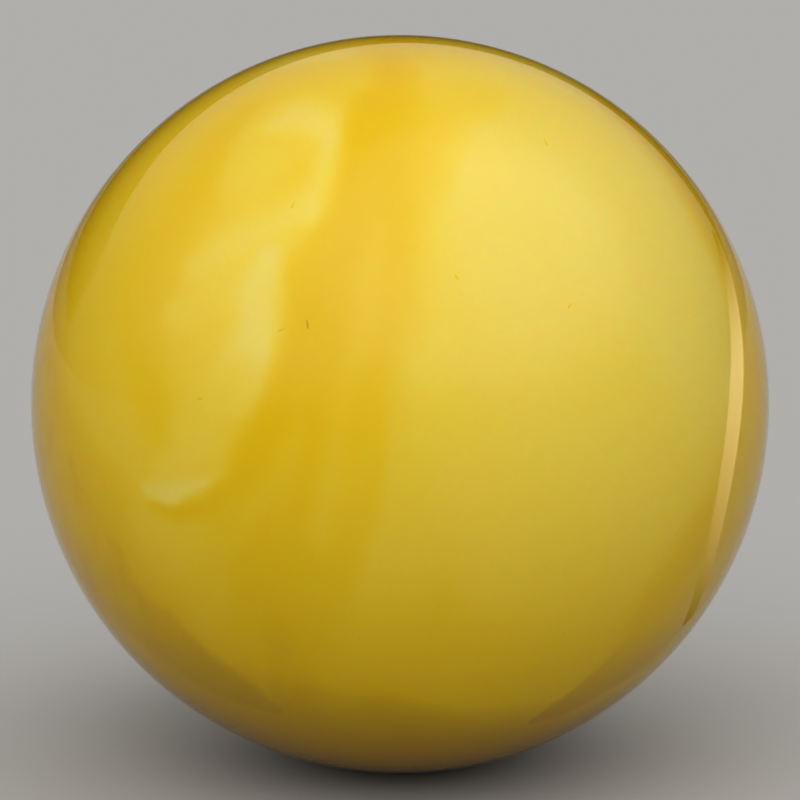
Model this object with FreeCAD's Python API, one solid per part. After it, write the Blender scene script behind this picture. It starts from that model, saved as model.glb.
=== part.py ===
"""Marbled cue ball, in millimetres.

The ball is one casting of two resins, poured together and then ground and polished
to a sphere. Each region of resin is a closed solid of its own. The pearl pours sit
in the amber resin face to face, with no gap and no overlap.

Origin: the ball's centre. +Z is up, and -Y is the side that carries the marbling.
"""

import FreeCAD, Part
import math
import os

BALL_DIAMETER = 57.15
BALL_RADIUS = BALL_DIAMETER / 2

# Turns, in degrees, that put the sphere's seam at the back and its poles in plain
# amber resin, so that no pour's rim crosses them.
SEAM_TURN = 90.0
POLE_TIP = -17.0

# Each pearl pour is an ellipsoid whose outer end is ground away with the ball. Its
# axis runs outward from the ball's centre. Azimuth is counted in degrees from -Y
# towards +X, elevation from the XY plane, and lean from upright towards +X. The
# sizes are shares of the ball's radius: centre_height is how far out the middle of
# the ellipsoid lies, and the other three are its half-sizes.
PEARL_POURS = {
    "pearl_resin_lobe": {
        "azimuth": -46.0,
        "elevation": 39.0,
        "lean": -20.0,
        "centre_height": 0.76,
        "half_length": 0.72,
        "half_width": 0.47,
        "half_depth": 0.32,
    },
    "pearl_resin_ribbon": {
        "azimuth": -8.5,
        "elevation": 4.0,
        "lean": 15.0,
        "centre_height": 0.95,
        "half_length": 0.44,
        "half_width": 0.035,
        "half_depth": 0.12,
    },
    "pearl_resin_field": {
        "azimuth": 46.0,
        "elevation": -2.0,
        "lean": 8.0,
        "centre_height": 0.64,
        "half_length": 0.80,
        "half_width": 0.65,
        "half_depth": 0.44,
    },
}


def polished_ball():
    """The whole ball."""
    ball = Part.makeSphere(BALL_RADIUS)
    centre = FreeCAD.Vector(0, 0, 0)
    ball.rotate(centre, FreeCAD.Vector(0, 0, 1), SEAM_TURN)
    ball.rotate(centre, FreeCAD.Vector(1, 0, 0), POLE_TIP)
    return ball


def pour_axes(pour):
    """Unit vectors along the pour's width, along its length and outward."""
    azimuth = math.radians(pour["azimuth"])
    elevation = math.radians(pour["elevation"])
    lean = math.radians(pour["lean"])
    level = FreeCAD.Vector(math.cos(azimuth), math.sin(azimuth), 0)
    outward = FreeCAD.Vector(
        math.sin(azimuth) * math.cos(elevation),
        -math.cos(azimuth) * math.cos(elevation),
        math.sin(elevation),
    )
    upright = outward.cross(level) * -1
    if upright.z < 0:
        upright = upright * -1
    width = level * math.cos(lean) - upright * math.sin(lean)
    length = upright * math.cos(lean) + level * math.sin(lean)
    return width, length, outward


def pour_ellipsoid(pour):
    """The whole ellipsoid of one pour, before its outer end is ground away."""
    width, length, outward = pour_axes(pour)
    width = width * (pour["half_width"] * BALL_RADIUS)
    length = length * (pour["half_length"] * BALL_RADIUS)
    depth = outward * (pour["half_depth"] * BALL_RADIUS)
    middle = outward * (pour["centre_height"] * BALL_RADIUS)
    stretch = FreeCAD.Matrix(
        width.x, length.x, depth.x, middle.x,
        width.y, length.y, depth.y, middle.y,
        width.z, length.z, depth.z, middle.z,
        0, 0, 0, 1,
    )
    return Part.makeSphere(1).transformGeometry(stretch)


def resin_regions():
    """Every region of resin, by name."""
    ball = polished_ball()
    pearls = {name: ball.common(pour_ellipsoid(pour)) for name, pour in PEARL_POURS.items()}
    amber = ball.cut(list(pearls.values()))
    return {"amber_resin_body": amber, **pearls}


def write_regions(regions):
    """Check that each region is one sound solid, write it and print its volume."""
    os.makedirs("parts", exist_ok=True)
    for name, shape in regions.items():
        if not shape.isValid() or len(shape.Solids) != 1:
            raise ValueError(name + " is not one sound solid")
        solid = shape.Solids[0]
        solid.exportStep("parts/" + name + ".step")
        print(name, round(solid.Volume), "mm3")


write_regions(resin_regions())
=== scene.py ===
"""A marbled cue ball of amber and pearl resin, on a pale studio floor.

Everything is in metres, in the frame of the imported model: the ball's centre is the
origin, +Z is up and -Y is the side that carries the lobe of pearl. A place on the ball
is an azimuth, counted from -Y towards +X, and an elevation above the XY plane, both in
degrees. Widths and depths of the marbling are in ball radii.
"""

import math
from itertools import pairwise

import bmesh
import bpy
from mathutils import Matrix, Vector


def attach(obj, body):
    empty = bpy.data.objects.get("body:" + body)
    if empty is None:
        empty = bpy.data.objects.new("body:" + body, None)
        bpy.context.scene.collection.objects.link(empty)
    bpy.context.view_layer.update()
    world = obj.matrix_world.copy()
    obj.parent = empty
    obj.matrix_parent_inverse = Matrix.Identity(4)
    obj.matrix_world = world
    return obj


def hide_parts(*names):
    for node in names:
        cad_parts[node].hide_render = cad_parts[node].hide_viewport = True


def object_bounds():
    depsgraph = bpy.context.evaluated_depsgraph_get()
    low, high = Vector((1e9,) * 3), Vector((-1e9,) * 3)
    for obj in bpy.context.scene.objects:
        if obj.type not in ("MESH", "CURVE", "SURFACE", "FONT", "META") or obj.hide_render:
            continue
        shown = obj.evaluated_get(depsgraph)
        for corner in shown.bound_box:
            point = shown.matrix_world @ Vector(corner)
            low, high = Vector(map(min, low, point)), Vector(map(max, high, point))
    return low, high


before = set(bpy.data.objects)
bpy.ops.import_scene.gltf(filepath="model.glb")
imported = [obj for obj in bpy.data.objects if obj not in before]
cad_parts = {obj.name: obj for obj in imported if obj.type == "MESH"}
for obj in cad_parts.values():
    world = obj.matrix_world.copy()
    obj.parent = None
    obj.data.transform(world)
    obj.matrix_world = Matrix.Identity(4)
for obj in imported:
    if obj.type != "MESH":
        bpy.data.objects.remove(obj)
cad_low, cad_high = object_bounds()
BALL_RADIUS = max(cad_high - cad_low) / 2
MILLIMETRE = 0.001

# The camera's elevation, and how large the ball is in its view.
VIEW_ELEVATION = 10.0
LENS_MM = 100.0
SENSOR_MM = 24.0
BALL_SHARE_OF_FRAME = 0.9235
BALL_DROP = 0.011


# ---------------------------------------------------------------- places on the ball


def direction(azimuth, elevation):
    """The unit vector that points at a place on the ball."""
    turn = math.radians(azimuth)
    rise = math.radians(elevation)
    return Vector((
        math.sin(turn) * math.cos(rise),
        -math.cos(turn) * math.cos(rise),
        math.sin(rise),
    ))


UP = Vector((0, 0, 1))


def surface_axes(azimuth, elevation, lean):
    """Outward, along and across a shape on the ball, whose top leans towards +azimuth."""
    outward = direction(azimuth, elevation)
    east = direction(azimuth + 90, 0)
    north = outward.cross(east)
    if north.z < 0:
        north.negate()
    turn = math.radians(lean)
    along = north * math.cos(turn) + east * math.sin(turn)
    across = east * math.cos(turn) - north * math.sin(turn)
    return outward, along, across


# ---------------------------------------------------------------- formulas as nodes


class Formula:
    """A number worked out at every point of a surface, written as ordinary arithmetic."""

    def __init__(self, tree, socket):
        self.tree = tree
        self.socket = socket

    def apply(self, operation, *others):
        """One Math node, with this number as its first input."""
        node = self.tree.nodes.new("ShaderNodeMath")
        node.operation = operation
        for place, value in enumerate((self, *others)):
            connect(self.tree, value, node.inputs[place])
        return Formula(self.tree, node.outputs[0])

    def __add__(self, other):
        return self.apply("ADD", other)

    def __sub__(self, other):
        return self.apply("SUBTRACT", other)

    def __mul__(self, other):
        return self.apply("MULTIPLY", other)

    def squared(self):
        return self.apply("MULTIPLY", self)

    def limited(self):
        """This number, held between 0 and 1."""
        return self.apply("MAXIMUM", 0.0).apply("MINIMUM", 1.0)


def connect(tree, value, socket):
    """Give a socket a formula or a plain number."""
    if isinstance(value, Formula):
        tree.links.new(value.socket, socket)
    else:
        socket.default_value = value


def vector_math(tree, operation, *values):
    """A Vector Math node, fed with sockets, formulas or plain vectors."""
    node = tree.nodes.new("ShaderNodeVectorMath")
    node.operation = operation
    for place, value in enumerate(values):
        if isinstance(value, bpy.types.NodeSocket):
            tree.links.new(value, node.inputs[place])
        else:
            connect(tree, value, node.inputs[place])
    return node


def project(tree, point, axis):
    """How far a point lies along an axis."""
    node = vector_math(tree, "DOT_PRODUCT", point, axis)
    return Formula(tree, node.outputs["Value"])


def ramp(value, low, high):
    """0 at low, 1 at high and a smooth step between them, whichever of them is larger."""
    node = value.tree.nodes.new("ShaderNodeMapRange")
    node.interpolation_type = "SMOOTHSTEP"
    connect(value.tree, value, node.inputs["Value"])
    node.inputs["From Min"].default_value = low
    node.inputs["From Max"].default_value = high
    return Formula(value.tree, node.outputs["Result"])


def blend(below, above, share):
    """A mix of two numbers, where share says how much of the second shows."""
    node = share.tree.nodes.new("ShaderNodeMix")
    node.data_type = "FLOAT"
    connect(share.tree, share, node.inputs["Factor"])
    connect(share.tree, below, node.inputs["A"])
    connect(share.tree, above, node.inputs["B"])
    return Formula(share.tree, node.outputs["Result"])


def noise(tree, point, scale, detail, roughness=0.5):
    """A Noise Texture, as (number, colour socket)."""
    node = tree.nodes.new("ShaderNodeTexNoise")
    node.inputs["Scale"].default_value = scale
    node.inputs["Detail"].default_value = detail
    node.inputs["Roughness"].default_value = roughness
    tree.links.new(point, node.inputs["Vector"])
    return Formula(tree, node.outputs["Fac"]), node.outputs["Color"]


def shifted(tree, point, run, amount):
    """A point moved along a run by some amount of it."""
    step = vector_math(tree, "SCALE", run)
    connect(tree, amount, step.inputs["Scale"])
    return vector_math(tree, "ADD", step.outputs[0], point).outputs[0]


def displaced(tree, point, offset, amount):
    """A point moved by a noise colour, whose middle value moves it nowhere."""
    middle = vector_math(tree, "SUBTRACT", offset, (0.5, 0.5, 0.5))
    return shifted(tree, point, middle.outputs[0], amount)


def drawn_out(tree, point, axis, share):
    """A point squeezed along an axis, so that a noise read there is drawn out along it."""
    return shifted(tree, point, axis, project(tree, point, axis) * (share - 1))


# ---------------------------------------------------------------- marbling


# A patch stays on its own side of the ball. Measured along its outward axis, in ball
# radii, it is gone at the first of these heights and whole from the second.
FACING = (0.0, 0.2)


class Patch:
    """An oval of resin: where its middle is, its lean, its half-length and half-width.

    pearl is how much pearl it holds, from 0 for deep amber to 1. soft is the share of its
    size over which it fades out, and ragged is how far the flow of the resin eats into its
    edge.
    """

    def __init__(self, place, lean, half_length, half_width, pearl,
                 soft=0.5, ragged=0.0, strength=1.0):
        self.outward, self.along, self.across = surface_axes(*place, lean)
        self.half_length = half_length
        self.half_width = half_width
        self.pearl = pearl
        self.soft = soft
        self.ragged = ragged
        self.strength = strength

    def share(self, tree, point, flow):
        """How much of the patch shows at a point."""
        along = project(tree, point, self.along / self.half_length).squared()
        across = project(tree, point, self.across / self.half_width)
        edge = along + across.squared()
        if self.ragged:
            edge = edge + (flow - 0.5) * self.ragged
        facing = ramp(project(tree, point, self.outward), *FACING)
        return ramp(edge, 1 + self.soft, 1 - self.soft) * facing * self.strength


# A stretch that bends less than this, in ball radii, stays straight.
SMALLEST_BEND = 0.012


def smooth_line(places):
    """Places as points and widths, with one more between two where the curve bends."""
    knots = [(direction(azimuth, elevation), width) for azimuth, elevation, width in places]
    padded = [knots[0], *knots, knots[-1]]
    line = [knots[0]]
    for before, start, end, after in zip(padded, padded[1:], padded[2:], padded[3:]):
        middle = ((start[0] + end[0]) * 9 - before[0] - after[0]).normalized()
        if (middle - (start[0] + end[0]) / 2).length > SMALLEST_BEND:
            line.append((middle, (start[1] + end[1]) / 2))
        line.append(end)
    return line


class Vein:
    """A line of resin through a few points of the ball, each with its half-width."""

    def __init__(self, line, pearl, soft=0.8, ragged=0.0, strength=1.0):
        self.line = line
        self.pearl = pearl
        self.soft = soft
        self.ragged = ragged
        self.strength = strength

    def share(self, tree, point, flow):
        """How much of the vein shows at a point."""
        reach = None
        for (start, start_width), (end, end_width) in pairwise(self.line):
            run = end - start
            along = run / run.length_squared
            passed = (project(tree, point, along) - start.dot(along)).limited()
            nearest = shifted(tree, start, run, passed)
            gap = Formula(tree, vector_math(tree, "DISTANCE", point, nearest).outputs["Value"])
            width = passed.apply("MULTIPLY_ADD", end_width - start_width, start_width)
            widths_away = gap.apply("DIVIDE", width)
            reach = widths_away if reach is None else reach.apply("MINIMUM", widths_away)
        if self.ragged:
            reach = reach + (flow - 0.5) * self.ragged
        return ramp(reach, 1 + self.soft, 1 - self.soft) * self.strength


def vein(places, pearl, **look):
    """A smooth vein through a few places: azimuth, elevation and half-width of each."""
    return Vein(smooth_line(places), pearl, **look)


# The pearl field on the right, brightest at its top, and what lies in it.
FIELD = [
    Patch((50, 14), 4, 0.88, 0.83, 0.60, soft=0.36, ragged=0.5),
    Patch((38, 34), 20, 0.62, 0.50, 0.82, soft=0.9, ragged=0.8, strength=0.9),
    Patch((24, 35), 10, 0.28, 0.20, 1.00, soft=0.9, ragged=1.2, strength=0.5),
    Patch((52, 28), -10, 0.42, 0.26, 1.00, soft=0.9, ragged=1.2, strength=0.7),
    Patch((32, 4), -30, 0.30, 0.20, 0.74, soft=0.9, ragged=1.2, strength=0.6),
    Patch((3, 47), 14, 0.22, 0.11, 0.34, soft=0.9, ragged=1.0, strength=0.8),
    Patch((18, 61), 70, 0.14, 0.09, 0.44, soft=0.9, ragged=1.2, strength=0.6),
    Patch((16, -34), -80, 0.40, 0.12, 0.50, soft=0.9, ragged=0.8, strength=0.7),
    Patch((-3, -20), 16, 0.34, 0.11, 0.50, soft=0.9, ragged=0.8, strength=0.8),
]

# The amber stream between the field and the lobe, and the paler threads in it.
STREAM = [
    vein([(-8, 74, 0.05), (-9, 58, 0.075), (-8, 42, 0.08), (-12, 24, 0.11), (-17, 4, 0.11),
          (-21, -22, 0.14)], 0.06, soft=0.9, ragged=0.3),
    vein([(-5, 68, 0.06), (-2.5, 53, 0.07), (-2, 40, 0.07), (-4, 24, 0.09), (-9, 6, 0.07)], 0.0,
         soft=1.0, ragged=0.3, strength=0.8),
    vein([(-2.5, 9, 0.015), (-4, 1, 0.03), (-7, -8, 0.03), (-11, -17, 0.035), (-15, -27, 0.03)],
         0.16, soft=1.0, ragged=0.5, strength=0.6),
    vein([(-3, 36, 0.02), (-5, 27, 0.035), (-6, 17, 0.035), (-9, 5, 0.035), (-13, -9, 0.03)], 0.44,
         soft=1.0, ragged=0.5, strength=0.7),
    vein([(-13, 36, 0.02), (-15, 26, 0.03), (-18, 17, 0.02)], 0.28, soft=1.0, strength=0.6),
    vein([(-15, 6, 0.02), (-20, -3, 0.04), (-26, -11, 0.04)], 0.30, soft=1.0, ragged=0.4,
         strength=0.8),
    Patch((-37, -11), 35, 0.20, 0.13, 0.44, soft=0.8, ragged=0.6, strength=0.9),
    Patch((-31, -20), 20, 0.14, 0.07, 0.38, soft=0.9, ragged=0.6, strength=0.9),
]

# The oval lobe at the upper left, with darker amber in its middle and a fold of pearl
# along its right edge: an arch at its top, then feathers, a body and a thin crescent.
LOBE = [
    Patch((-46, 39), -20, 0.725, 0.475, 0.42, soft=0.12),
    vein([(-44, 56, 0.05), (-42, 42, 0.09), (-40, 27, 0.11), (-40, 13, 0.09), (-37, 4, 0.05)],
         0.14, soft=1.0, ragged=0.9, strength=0.75),
    vein([(-52, 20, 0.04), (-46, 8, 0.07), (-38, 0, 0.06)], 0.46, soft=1.0, ragged=0.8,
         strength=0.7),
    vein([(-11, 44, 0.02), (-14, 36, 0.05), (-15, 27, 0.06), (-14, 18, 0.05), (-18, 8, 0.04),
          (-23, 1, 0.02)], 0.14, soft=0.8, ragged=0.4),
    vein([(-37, 57, 0.03), (-32, 48, 0.10), (-29, 38, 0.10), (-31, 22, 0.08), (-32, 7, 0.05)],
         0.46, soft=1.0, ragged=1.0),
    Patch((-31, 49), 10, 0.17, 0.10, 0.66, soft=0.9, ragged=1.0, strength=0.8),
    vein([(-31, 54, 0.03), (-26, 57, 0.06), (-19, 56, 0.06), (-14, 50, 0.055), (-13, 43, 0.045),
          (-16, 38, 0.03)], 0.92, soft=1.0, ragged=0.8),
    vein([(-16, 41, 0.04), (-20, 37, 0.06), (-27, 32, 0.06), (-34, 28, 0.04)], 0.82, soft=1.0,
         ragged=1.2, strength=0.9),
    vein([(-23, 29, 0.04), (-29, 25, 0.06), (-35, 21, 0.04)], 0.64, soft=1.0, ragged=1.2,
         strength=0.8),
    vein([(-22, 31, 0.03), (-23, 25, 0.06), (-23, 17, 0.08), (-26, 10, 0.05)], 0.92, soft=0.8,
         ragged=0.8),
    vein([(-26, 12, 0.05), (-30, 4, 0.06), (-34, -1, 0.05)], 0.62, soft=1.0, ragged=1.0),
    vein([(-25, 0, 0.015), (-30, -2.5, 0.025), (-35, -3.8, 0.03), (-39, -4, 0.02)], 0.90,
         soft=1.0, ragged=0.4),
    # A painted highlight: a pale wisp along the top edge of the lobe, at the top rim.
    vein([(-66, 66, 0.03), (-60, 71, 0.05), (-38, 75, 0.04)], 0.85, soft=1.0, ragged=0.4,
         strength=0.7),
]

# The deepest amber hugs the lobe's right edge and passes under it.
SEAM = [
    vein([(-9, 62, 0.03), (-8.5, 50, 0.05), (-9, 38, 0.05), (-13, 23, 0.05), (-18, 9, 0.045),
          (-23, -0.5, 0.04), (-28, -4.5, 0.03), (-34, -6.5, 0.02), (-39, -6, 0.01)], 0.0, soft=0.9),
]

# Painted shade of the rims: darker amber bands down both sides, just inside the outline seen from
# the front.
RIM_SHADE_BANDS = [
    vein([(-95, 47, 0.20), (-84, 30, 0.22), (-76, 14, 0.22), (-66, -6, 0.22), (-54, -21, 0.20),
          (-40, -34, 0.10), (-26, -43, 0.02)], 0.0, soft=0.4, ragged=0.2, strength=0.45),
    vein([(88, 50, 0.20), (81, 30, 0.22), (74, 6, 0.22), (64, -14, 0.22), (52, -27, 0.20),
          (42, -38, 0.10), (30, -46, 0.02)], 0.0, soft=0.3, ragged=0.2, strength=0.55),
]

# The far side: the seam runs over the top and down beside a second pour of pearl, and
# thinner wisps fill the left side and the foot.
FAR_SIDE = [
    Patch((172, 20), -30, 0.66, 0.36, 0.66, soft=0.3, ragged=0.6),
    vein([(146, 58, 0.04), (150, 40, 0.11), (163, 20, 0.10), (180, 2, 0.05)], 1.0, soft=0.9,
         ragged=0.7),
    vein([(196, 38, 0.03), (188, 20, 0.08), (196, 0, 0.04)], 0.24, soft=1.0, ragged=0.8),
    vein([(-8, 74, 0.05), (120, 84, 0.08), (135, 60, 0.06), (141, 38, 0.055), (154, 14, 0.05),
          (174, -6, 0.04), (194, -12, 0.02)], 0.0, soft=0.8, ragged=0.3),
    vein([(118, -8, 0.03), (146, -24, 0.07), (180, -32, 0.08), (214, -24, 0.03)], 0.70, soft=1.0,
         ragged=0.8),
    vein([(-96, 58, 0.04), (-102, 38, 0.12), (-110, 12, 0.14), (-106, -14, 0.08), (-96, -30, 0.03)],
         0.76, soft=0.9, ragged=0.9),
    vein([(-116, 54, 0.03), (-123, 32, 0.05), (-131, 8, 0.05), (-124, -18, 0.04)], 0.0, soft=0.9,
         ragged=0.4),
    vein([(-140, 46, 0.03), (-148, 18, 0.07), (-138, -14, 0.05)], 0.66, soft=1.0, ragged=0.8),
    vein([(50, -58, 0.03), (96, -70, 0.07), (160, -60, 0.04)], 0.50, soft=1.0, ragged=0.8),
]

# The nicks that play has left: azimuth, elevation, lean and half-length in millimetres.
NICKS = (
    (-20, 39, 15, 0.22),
    (-18, 20, 65, 0.24),
    (-14, 21, -15, 0.26),
    (-30, 9.5, 80, 0.20),
    (35, 50, 10, 0.26),
    (9, 28, -30, 0.15),
    (27, 23, 40, 0.15),
    (27.5, -26.5, 5, 0.18),
    (46, -12.5, -20, 0.15),
    (112, 16, 30, 0.30),
    (-104, 28, -50, 0.25),
    (168, -18, 70, 0.30),
)
NICK_HALF_WIDTH = 0.08 * MILLIMETRE
NICK_DEPTH = 0.05 * MILLIMETRE


def nick_shade_veins():
    """The nicks' painted shade: short veins of deep amber, as wide as their grooves."""
    width = NICK_HALF_WIDTH / BALL_RADIUS
    for azimuth, elevation, lean, half_length in NICKS:
        outward, along, _ = surface_axes(azimuth, elevation, lean)
        reach = along * (half_length * MILLIMETRE / BALL_RADIUS)
        line = [(outward - reach, width), (outward + reach, width)]
        yield Vein(line, 0.0, soft=0.5, strength=0.6)


# Slow swirls bend every outline, and finer streaks run along the way the resin flowed.
SWIRL_SCALE = 2.2
SWIRL_REACH = 0.12
FLOW_SCALE = 9.0
FLOW_AXIS = direction(-20, 60)
FLOW_SQUEEZE = 0.45
STREAKS = 0.07

# Plain resin between the pours holds a little pearl, which varies with the flow.
PLAIN_PEARL = 0.05
PLAIN_VARIATION = 0.3

# The marbling's own scale starts this far above the deepest amber, so that the painted shade
# of the rims and the foot can be darker than its amber. The foot's painted shade, darker
# towards the bottom of the ball, grows between two heights.
SCALE_START = 0.2
FOOT_SHADE_HEIGHTS = (-0.15, -0.95)


def marbling(tree, point):
    """The resin's mix at a point of the ball, from 0 for its deepest amber to 1 for pearl, with
    painted shade on the rims, the foot and in the nicks.
    """
    _, swirl = noise(tree, point, SWIRL_SCALE, detail=3.0)
    warped = displaced(tree, point, swirl, SWIRL_REACH)
    grain = drawn_out(tree, warped, FLOW_AXIS, FLOW_SQUEEZE)
    flow, _ = noise(tree, grain, FLOW_SCALE, detail=4.0, roughness=0.55)

    pearl = flow * PLAIN_VARIATION + PLAIN_PEARL
    for layer in FAR_SIDE + FIELD + STREAM + LOBE + SEAM:
        pearl = blend(pearl, layer.pearl, layer.share(tree, warped, flow))
    pearl = (pearl + (flow - 0.5) * STREAKS) * (1 - SCALE_START) + SCALE_START
    # Painted shade of the rims, darker towards the outline seen from the front.
    for layer in RIM_SHADE_BANDS:
        pearl = blend(pearl, layer.pearl, layer.share(tree, warped, flow))
    # Painted shade under the ball: darker towards the bottom.
    foot_shade = ramp(project(tree, warped, UP), *FOOT_SHADE_HEIGHTS)
    pearl = blend(pearl, 0.0, foot_shade)
    # Painted shade in the grooves of the nicks.
    for nick in nick_shade_veins():
        pearl = blend(pearl, nick.pearl, nick.share(tree, point, flow))
    return pearl


# ---------------------------------------------------------------- materials


RESIN_COLOURS = (
    # The first colour, below where the marbling starts, shows only as painted shade on the rims,
    # the foot and in the nicks.
    (0.00, (0.520, 0.325, 0.000)),
    (0.20, (0.865, 0.640, 0.000)),
    (0.45, (0.890, 0.690, 0.020)),
    (0.75, (0.920, 0.770, 0.100)),
    (1.00, (0.950, 0.830, 0.240)),
)
RESIN_IOR = 1.36

# A thin clear skin, which deepens the colour towards the rim.
SKIN_IOR = 1.12
SKIN_TINT = (0.82, 0.75, 0.57, 1)

# How far red, green and blue light spread below the surface.
SCATTER_DEPTH = 0.8 * MILLIMETRE
SCATTER_COLOURS = (1.0, 0.6, 0.2)

# The finest polish, and how much duller its haziest spots are.
POLISH = 0.03
POLISH_VARIATION = 0.035


def resin_material():
    """The marbled resin: its colours, its depth and its polish."""
    material = bpy.data.materials.new("marbled_resin")
    material.use_nodes = True
    tree = material.node_tree
    shader = tree.nodes["Principled BSDF"]
    place = tree.nodes.new("ShaderNodeTexCoord")
    unit = tree.nodes.new("ShaderNodeVectorMath")
    unit.operation = "SCALE"
    unit.inputs["Scale"].default_value = 1 / BALL_RADIUS
    tree.links.new(place.outputs["Object"], unit.inputs[0])
    point = unit.outputs[0]

    pearl = marbling(tree, point)
    colours = tree.nodes.new("ShaderNodeValToRGB")
    colours.color_ramp.interpolation = "LINEAR"
    elements = colours.color_ramp.elements
    elements.remove(elements[1])
    for index, (position, colour) in enumerate(RESIN_COLOURS):
        element = elements[0] if index == 0 else elements.new(position)
        element.position = position
        element.color = (*colour, 1)
    tree.links.new(pearl.socket, colours.inputs["Fac"])
    tree.links.new(colours.outputs["Color"], shader.inputs["Base Color"])
    haze, _ = noise(tree, point, 3.0, detail=6.0, roughness=0.6)
    polish = ramp(haze, 0.35, 0.75) * POLISH_VARIATION + POLISH
    tree.links.new(polish.socket, shader.inputs["Roughness"])
    shader.inputs["IOR"].default_value = RESIN_IOR
    shader.inputs["Coat Weight"].default_value = 1.0
    shader.inputs["Coat IOR"].default_value = SKIN_IOR
    shader.inputs["Coat Tint"].default_value = SKIN_TINT
    shader.inputs["Subsurface Weight"].default_value = 1.0
    shader.inputs["Subsurface Radius"].default_value = SCATTER_COLOURS
    shader.inputs["Subsurface Scale"].default_value = SCATTER_DEPTH
    return material


FLOOR_COLOUR = (0.36, 0.36, 0.36, 1)


def floor_material():
    """A matt pale grey."""
    material = bpy.data.materials.new("pale_floor")
    material.use_nodes = True
    shader = material.node_tree.nodes["Principled BSDF"]
    shader.inputs["Base Color"].default_value = FLOOR_COLOUR
    shader.inputs["Roughness"].default_value = 0.8
    shader.inputs["Specular IOR Level"].default_value = 0.0
    return material


# The heights, in ball radii, over which the glow fades out upwards and downwards.
GLOW_TOP = (0.65, 0.1)
GLOW_FOOT = (-1.0, 0.0)
GLOW_COLOUR = (1.0, 0.86, 0.66, 1)


def glow_material(radiance):
    """A warm light, which fades towards both of its ends."""
    material = bpy.data.materials.new("warm_glow")
    material.use_nodes = True
    tree = material.node_tree
    tree.nodes.remove(tree.nodes["Principled BSDF"])
    place = tree.nodes.new("ShaderNodeTexCoord").outputs["Object"]
    height = project(tree, place, UP / BALL_RADIUS)
    strength = ramp(height, *GLOW_TOP) * ramp(height, *GLOW_FOOT) * radiance
    glow = tree.nodes.new("ShaderNodeEmission")
    glow.inputs["Color"].default_value = GLOW_COLOUR
    tree.links.new(strength.socket, glow.inputs["Strength"])
    tree.links.new(glow.outputs[0], tree.nodes["Material Output"].inputs["Surface"])
    return material


# ---------------------------------------------------------------- the ball


# A cube, cut into small faces and blown up to a sphere, with finer ones round the nicks.
MESH_CUTS = 71
NICK_CUTS = 9
NICK_REACH = 0.9 * MILLIMETRE
LEAST_PRESSED = 0.001 * MILLIMETRE
TEXTURE_MARGIN = 0.04


def refine_near(shape, centres):
    """Finer faces round the nicks."""
    edges = set()
    for face in shape.faces:
        middle = face.calc_center_median()
        if any((middle - centre).length < NICK_REACH for centre in centres):
            edges.update(face.edges)
    bmesh.ops.subdivide_edges(shape, edges=list(edges), cuts=NICK_CUTS, use_grid_fill=True)


def press_nick(shape, azimuth, elevation, lean, half_length):
    """Press one shallow groove into the surface."""
    outward, along, across = surface_axes(azimuth, elevation, lean)
    half_length *= MILLIMETRE
    for vertex in shape.verts:
        offset = vertex.co - outward * BALL_RADIUS
        if offset.length > NICK_REACH:
            continue
        edge = (offset.dot(along) / half_length) ** 2 + (offset.dot(across) / NICK_HALF_WIDTH) ** 2
        vertex.co -= outward * (NICK_DEPTH * max(0.0, 1 - edge) ** 2)


def lay_out_texture(shape):
    """Each of the cube's six sides in a cell of its own, three cells across and two up."""
    layer = shape.loops.layers.uv.new("OFBake")
    for face in shape.faces:
        middle = face.calc_center_median()
        axis = max(range(3), key=lambda place: abs(middle[place]))
        first, second = (axis + 1) % 3, (axis + 2) % 3
        row = 1 if middle[axis] > 0 else 0
        for corner in face.loops:
            spread = corner.vert.co
            across = math.atan(spread[first] / abs(spread[axis])) * 4 / math.pi
            up = math.atan(spread[second] / abs(spread[axis])) * 4 / math.pi
            scale = (1 - TEXTURE_MARGIN) / 2
            corner[layer].uv = ((axis + 0.5 + across * scale) / 3, (row + 0.5 + up * scale) / 2)


def ball_mesh():
    """A sphere of evenly spaced quads with the nicks pressed into it."""
    shape = bmesh.new()
    bmesh.ops.create_cube(shape, size=2)
    bmesh.ops.subdivide_edges(shape, edges=shape.edges[:], cuts=MESH_CUTS, use_grid_fill=True)
    for vertex in shape.verts:
        spread = Vector([math.tan(c * math.pi / 4) for c in vertex.co])
        vertex.co = spread.normalized() * BALL_RADIUS
    refine_near(shape, [direction(*place) * BALL_RADIUS for *place, _, _ in NICKS])
    for vertex in shape.verts:
        vertex.co = vertex.co.normalized() * BALL_RADIUS
    for nick in NICKS:
        press_nick(shape, *nick)
    lay_out_texture(shape)
    mesh = bpy.data.meshes.new("ball")
    shape.to_mesh(mesh)
    shape.free()
    mesh.shade_smooth()
    polish_normals(mesh)
    return mesh


def polish_normals(mesh):
    """Exact normals wherever the surface is the true sphere, and its own in the nicks."""
    normals = []
    for vertex in mesh.vertices:
        pressed = BALL_RADIUS - vertex.co.length > LEAST_PRESSED
        normals.append(Vector() if pressed else vertex.co.normalized())
    mesh.normals_split_custom_set_from_vertices(normals)


def make_ball():
    """The whole ball as one piece, because its colours run into each other."""
    ball = bpy.data.objects.new("marbled_ball", ball_mesh())
    bpy.context.collection.objects.link(ball)
    ball.data.materials.append(resin_material())
    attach(ball, "root")
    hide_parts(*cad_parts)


# ---------------------------------------------------------------- studio


FLOOR_HALF_SIZE = 4.0


def make_floor():
    """The floor that the ball stands on."""
    mesh = bpy.data.meshes.new("floor")
    half = FLOOR_HALF_SIZE
    low = -BALL_RADIUS
    corners = [(-half, -half, low), (half, -half, low), (half, half, low), (-half, half, low)]
    mesh.from_pydata(corners, [], [(0, 1, 2, 3)])
    floor = bpy.data.objects.new("floor", mesh)
    bpy.context.collection.objects.link(floor)
    mesh.materials.append(floor_material())


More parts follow.
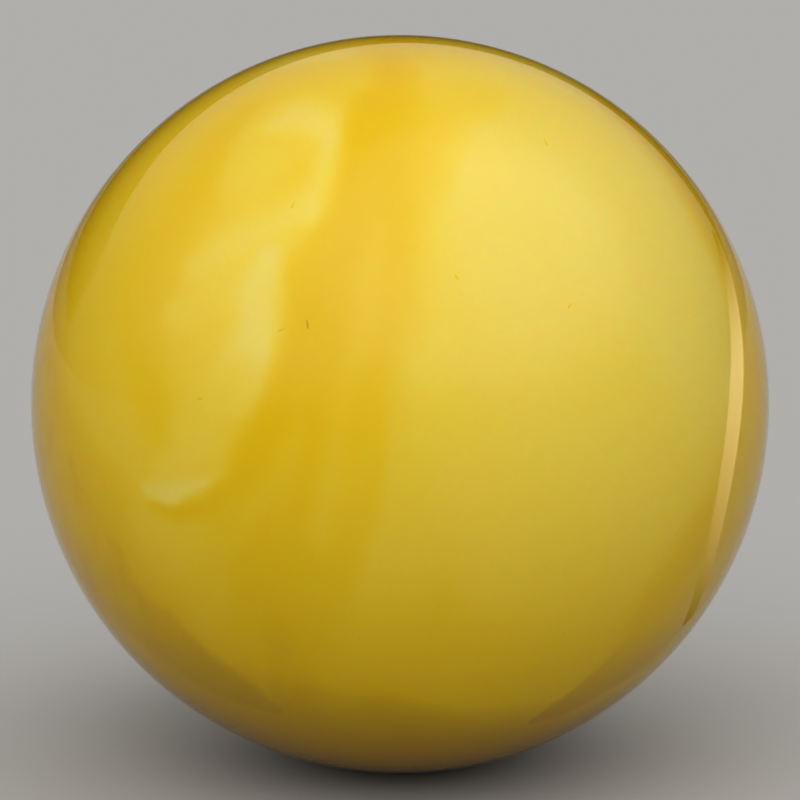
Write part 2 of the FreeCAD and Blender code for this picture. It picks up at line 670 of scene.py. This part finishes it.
KEY_LIGHT = 1.6
LEFT_LIGHT = 1.5
SIDE_LIGHT = 0.16
BACK_LIGHT = 0.45
HORIZON_LIGHT = 0.36
FAR_HORIZON_LIGHT = 0.20
OPENING_LIGHT = 0.02
OPENING_HALF_WIDTH = 0.72
OPENING_HEIGHT = 0.37
OPENING_SLOPE = 0.22
LIGHT_COLOUR = (1, 0.975, 0.94, 1)


def make_world():
    """A tent of soft light, brightest at the upper right, with a dark opening behind."""
    world = bpy.data.worlds.new("light_tent")
    bpy.context.scene.world = world
    world.use_nodes = True
    tree = world.node_tree
    place = tree.nodes.new("ShaderNodeTexCoord").outputs["Generated"]
    key = ramp(project(tree, place, direction(38, 52)), 0.60, 0.86) * KEY_LIGHT
    left = ramp(project(tree, place, direction(-46, 28)), 0.45, 1.0) * LEFT_LIGHT
    sides = ramp(project(tree, place, direction(-5, 15)), 0.7, 0.1) * SIDE_LIGHT
    back = ramp(project(tree, place, direction(180, 50)), 0.3, 0.9) * BACK_LIGHT
    wall = key + left + sides + back

    height = project(tree, place, UP)
    depth = project(tree, place, direction(180, 0))
    horizon = blend(HORIZON_LIGHT, FAR_HORIZON_LIGHT, ramp(depth, -0.5, 0.4))
    light = blend(horizon, wall, ramp(height, 0.0, 0.4))
    aside = project(tree, place, direction(-85, 0))
    across = aside * (1 / OPENING_HALF_WIDTH)
    up = (height - aside * OPENING_SLOPE) * (1 / OPENING_HEIGHT)
    arch = across.squared() + up.squared()
    opening = ramp(arch, 1.05, 0.95) * ramp(height, 0.06, 0.09) * ramp(depth, 0.0, 0.1)
    light = blend(light, OPENING_LIGHT, opening)
    background = tree.nodes["Background"]
    tree.links.new(light.socket, background.inputs["Strength"])
    background.inputs["Color"].default_value = LIGHT_COLOUR


# The slim light's path and its share of full thickness along it, in ball radii.
GLOW_ROUTE = (
    (1.35, 0.62, 0.62, 0.3),
    (1.86, -0.02, 0.20, 1.0),
    (1.74, -0.28, -0.62, 0.7),
    (1.12, 0.26, -0.90, 0.3),
)
GLOW_THICKNESS = 0.14
GLOW_LIGHT = 2.8


def make_glow():
    """A slim bowed light beside the ball, which only its polish shows, as one long streak."""
    curve = bpy.data.curves.new("glow", "CURVE")
    curve.dimensions = "3D"
    spline = curve.splines.new("NURBS")
    spline.points.add(len(GLOW_ROUTE) - 1)
    for point, (x, y, z, thickness) in zip(spline.points, GLOW_ROUTE):
        point.co = (*(Vector((x, y, z)) * BALL_RADIUS), 1)
        point.radius = thickness
    spline.order_u = 4
    spline.use_endpoint_u = True
    spline.resolution_u = 24
    curve.bevel_depth = GLOW_THICKNESS * BALL_RADIUS
    curve.bevel_resolution = 4
    glow = bpy.data.objects.new("glow", curve)
    bpy.context.collection.objects.link(glow)
    curve.materials.append(glow_material(GLOW_LIGHT))
    glow.visible_camera = False
    glow.visible_diffuse = False
    glow.visible_shadow = False


def make_camera():
    """The camera, a little above the ball's middle, with the ball filling most of its view."""
    lens = bpy.data.cameras.new("camera")
    lens.lens = LENS_MM
    lens.sensor_width = SENSOR_MM
    camera = bpy.data.objects.new("camera", lens)
    bpy.context.collection.objects.link(camera)
    half_view = math.atan(SENSOR_MM / 2 / LENS_MM)
    half_ball = math.atan(math.tan(half_view) * BALL_SHARE_OF_FRAME)
    back = direction(0, VIEW_ELEVATION)
    distance = BALL_RADIUS / math.sin(half_ball)
    camera.location = back * distance + UP * (BALL_DROP * BALL_RADIUS)
    camera.rotation_euler = (-back).to_track_quat("-Z", "Y").to_euler()
    bpy.context.scene.camera = camera


def make_studio():
    """Everything round the ball."""
    make_floor()
    make_world()
    make_glow()
    make_camera()
    bpy.context.scene.view_settings.view_transform = "Standard"


make_ball()
make_studio()
